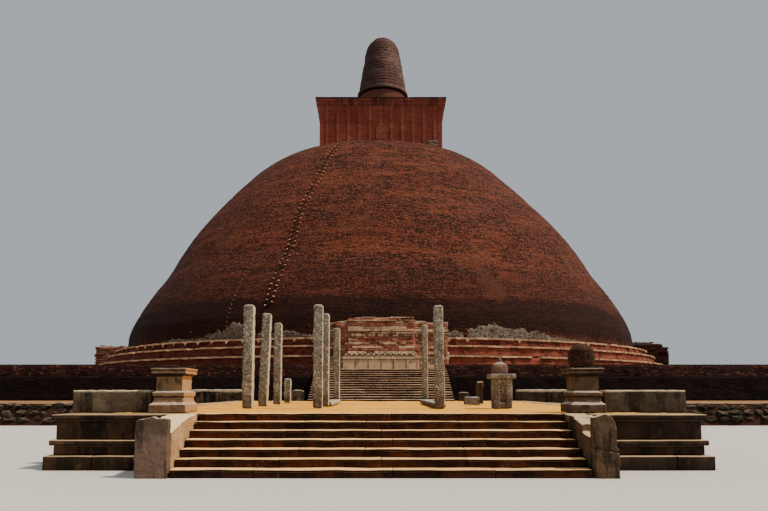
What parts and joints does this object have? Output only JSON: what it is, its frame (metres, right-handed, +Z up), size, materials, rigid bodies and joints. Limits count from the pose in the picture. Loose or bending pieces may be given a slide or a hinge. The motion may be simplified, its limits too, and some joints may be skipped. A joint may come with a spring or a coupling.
{
  "type": "scale model of a great brick stupa at 1:10",
  "caption": "One-tenth scale model of a ruined brick stupa: ringed dome on square terraces, square chamber, broken spire, frontispieces, flights of steps and a pillared gatehouse.",
  "frame": {"origin": "on the dome's axis at the level of the ground that the lower terrace and the gatehouses stand on", "axes": "+Z up; the front, with the pillared gatehouse, looks along -Y; +X is to the right of someone who faces the front"},
  "size_m": [22.08, 22.08, 7.39],
  "materials": {
    "dome_brick": "weathered dark red brick with streaks of grime",
    "chamber_brick": "weathered red brick",
    "spire_brick": "worn brown brick in ring courses",
    "ring_brick": "orange-red brick with pale coping stones",
    "terrace_brick": "dark stained brick",
    "rubble": "rough rubble stone",
    "stone": "worn dressed stone with dark stains",
    "grey_stone": "speckled grey gneiss"
  },
  "bodies": {
    "root": {"lower_terrace": "rubble", "upper_terrace": "terrace_brick", "upper_stair_front": "stone", "upper_stair_right": "stone", "upper_stair_back": "stone", "upper_stair_left": "stone", "lower_ring": "ring_brick", "middle_ring": "ring_brick", "upper_ring": "ring_brick", "frontispiece_front": "ring_brick", "altar_front": "stone", "frontispiece_right": "ring_brick", "frontispiece_back": "ring_brick", "frontispiece_left": "ring_brick", "dome": "dome_brick", "chamber_body": "chamber_brick", "chamber_cornice": "chamber_brick", "spire_drum": "spire_brick", "spire": "spire_brick", "gatehouse_floor": "stone", "front_stair": "stone", "balustrade_left": "stone", "balustrade_right": "stone", "guard_stone_left": "stone", "guard_stone_right": "stone", "pedestal_left": "stone", "pedestal_right": "stone", "stone_ball": "grey_stone", "carved_pedestal": "grey_stone", "near_parapet_left": "stone", "near_parapet_right": "stone", "far_parapet_left": "stone", "far_parapet_right": "stone", "pillar_outer_left_a": "grey_stone", "pillar_outer_left_b": "grey_stone", "pillar_outer_left_c": "grey_stone", "pillar_inner_left_a": "grey_stone", "pillar_inner_left_b": "grey_stone", "pillar_inner_left_d": "grey_stone", "pillar_inner_right_d": "grey_stone", "pillar_inner_right_a": "grey_stone", "pillar_stub_left": "grey_stone", "pillar_stub_right": "grey_stone", "curb_left": "grey_stone", "curb_right": "grey_stone", "fallen_block": "grey_stone", "upper_guard_left": "grey_stone", "upper_guard_right": "grey_stone", "gatehouse_right": "stone", "gatehouse_back": "stone", "gatehouse_left": "stone"}
  },
  "joints": []
}
